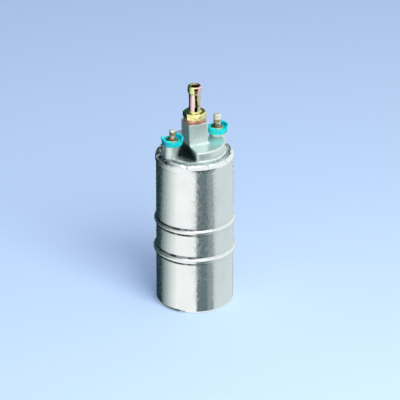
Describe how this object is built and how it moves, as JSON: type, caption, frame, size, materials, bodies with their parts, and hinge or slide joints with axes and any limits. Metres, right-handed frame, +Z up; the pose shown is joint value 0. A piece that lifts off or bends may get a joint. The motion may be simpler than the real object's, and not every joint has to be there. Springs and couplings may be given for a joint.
{
  "type": "electric fuel pump",
  "caption": "Round in-line electric fuel pump: crimped steel can with two beads, cast end cover with outlet hose fitting and stud terminals in plastic collars.",
  "frame": {"origin": "centre of the can's foot, on the surface that the pump stands on", "axes": "+Z up the can towards the outlet fitting; -Y is the side from which the outlet tower's square face is seen; +X to the right of that view"},
  "size_m": [0.0558, 0.0558, 0.1577],
  "materials": {
    "zinc_plated_steel": "bright zinc plating, slightly mottled",
    "cast_aluminium": "matt die casting",
    "turquoise_plastic": "moulded, semi-gloss",
    "plated_stud": "passivated zinc plating",
    "yellow_zinc_steel": "yellow passivated zinc plating",
    "copper": "plain copper",
    "hardened_steel": "ground",
    "spring_steel": "drawn wire and strip",
    "screw_steel": "black oxide",
    "sintered_bronze": "sintered, oil soaked",
    "ferrite": "ground ferrite",
    "core_steel": "stacked laminations",
    "dark_plastic": "glass-filled moulding",
    "carbon": "pressed carbon",
    "strap_brass": "stamped strip",
    "seal_rubber": "moulded"
  },
  "bodies": {
    "pump_body": {"housing_can": "zinc_plated_steel", "inlet_cover": "cast_aluminium", "end_cover": "cast_aluminium", "terminal_collar_minus": "turquoise_plastic", "terminal_collar_plus": "turquoise_plastic", "terminal_stud_minus": "plated_stud", "terminal_stud_plus": "plated_stud", "outlet_fitting": "yellow_zinc_steel", "sealing_washer": "copper", "pump_ring": "hardened_steel", "port_plate": "hardened_steel", "pump_screws": "screw_steel", "lower_bearing": "sintered_bronze", "relief_spring": "spring_steel", "magnet_left": "ferrite", "magnet_right": "ferrite", "magnet_clips": "spring_steel", "brush_plate": "dark_plastic", "upper_bearing": "sintered_bronze", "insulating_washers": "dark_plastic", "cover_seal": "seal_rubber", "contact_strap_minus": "strap_brass", "contact_strap_plus": "strap_brass", "check_valve_spring": "spring_steel", "brush_spring_minus": "spring_steel", "brush_spring_plus": "spring_steel"},
    "armature": {"armature_shaft": "hardened_steel", "armature_core": "core_steel", "armature_windings": "copper", "commutator_hub": "dark_plastic", "commutator_segments": "copper", "drive_coupling": "dark_plastic", "thrust_washer": "dark_plastic"},
    "rotor": {"pump_rotor": "hardened_steel", "roller_1": "hardened_steel", "roller_2": "hardened_steel", "roller_3": "hardened_steel", "roller_4": "hardened_steel", "roller_5": "hardened_steel"},
    "check_valve": {"check_valve_poppet": "dark_plastic"},
    "relief_valve": {"relief_ball": "hardened_steel"},
    "brush_minus": {"brush_minus": "carbon"},
    "brush_plus": {"brush_plus": "carbon"}
  },
  "joints": [
    {"name": "armature_spin", "type": "hinge", "parent": "pump_body", "child": "armature", "pos_m": [0, 0, 0.05], "axis": [0, 0, 1], "continuous": true},
    {"name": "rotor_spin", "type": "hinge", "parent": "pump_body", "child": "rotor", "pos_m": [0, 0, 0.018], "axis": [0, 0, 1], "continuous": true},
    {"name": "check_valve_lift", "type": "slide", "parent": "pump_body", "child": "check_valve", "axis": [0, 0, 1], "range_m": [0, 0.002], "stiffness_N_per_m": 150, "springref_m": -0.002, "deforming": ["check_valve_spring"]},
    {"name": "relief_valve_lift", "type": "slide", "parent": "pump_body", "child": "relief_valve", "axis": [0, 0, -1], "range_m": [0, 0.0008], "stiffness_N_per_m": 1500, "springref_m": -0.0019, "deforming": ["relief_spring"]},
    {"name": "brush_minus_slide", "type": "slide", "parent": "pump_body", "child": "brush_minus", "axis": [0, 0, 1], "range_m": [0, 0.0025], "stiffness_N_per_m": 200, "springref_m": -0.004, "deforming": ["brush_spring_minus"]},
    {"name": "brush_plus_slide", "type": "slide", "parent": "pump_body", "child": "brush_plus", "axis": [0, 0, 1], "range_m": [0, 0.0025], "stiffness_N_per_m": 200, "springref_m": -0.004, "deforming": ["brush_spring_plus"]}
  ],
  "couplings": [
    {"joint": "rotor_spin", "follows": "armature_spin", "ratio": 1}
  ]
}
